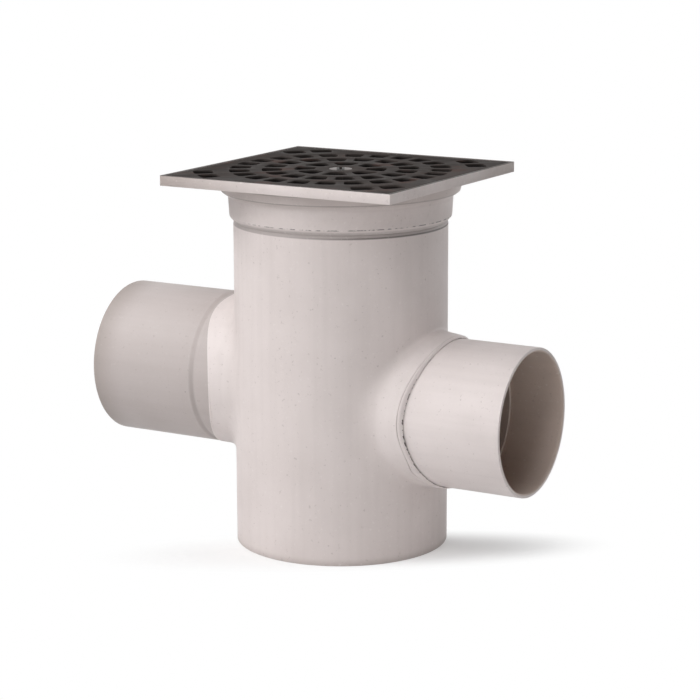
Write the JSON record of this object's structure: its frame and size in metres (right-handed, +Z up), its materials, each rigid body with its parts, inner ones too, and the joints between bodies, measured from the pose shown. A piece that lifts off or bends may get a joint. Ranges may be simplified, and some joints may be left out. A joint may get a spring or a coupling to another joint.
{
  "type": "gully trap",
  "caption": "Plastic gully trap: round pot with a wider socketed side inlet, a plain side outlet, an inner dip bend that holds the water seal, and a square slotted grate.",
  "frame": {"origin": "centre of the underside of the upright pipe, on the ground it stands on", "axes": "+Z up, +X along the outlet spigot, out of its mouth; the inlet socket opens towards -X"},
  "size_m": [0.348, 0.192, 0.2825],
  "materials": {
    "pvc": "dull off-white pipe plastic, a little stained",
    "bend_pvc": "dull grey-white pipe plastic",
    "grate_plastic": "dark brown-grey moulded plastic, satin",
    "screw_steel": "bright turned stainless steel"
  },
  "bodies": {
    "root": {"body": "pvc", "base_disc": "pvc", "inlet_pipe": "pvc", "outlet_pipe": "pvc", "dip_bend": "bend_pvc", "frame": "pvc", "grate": "grate_plastic", "grate_screw": "screw_steel"}
  },
  "joints": []
}
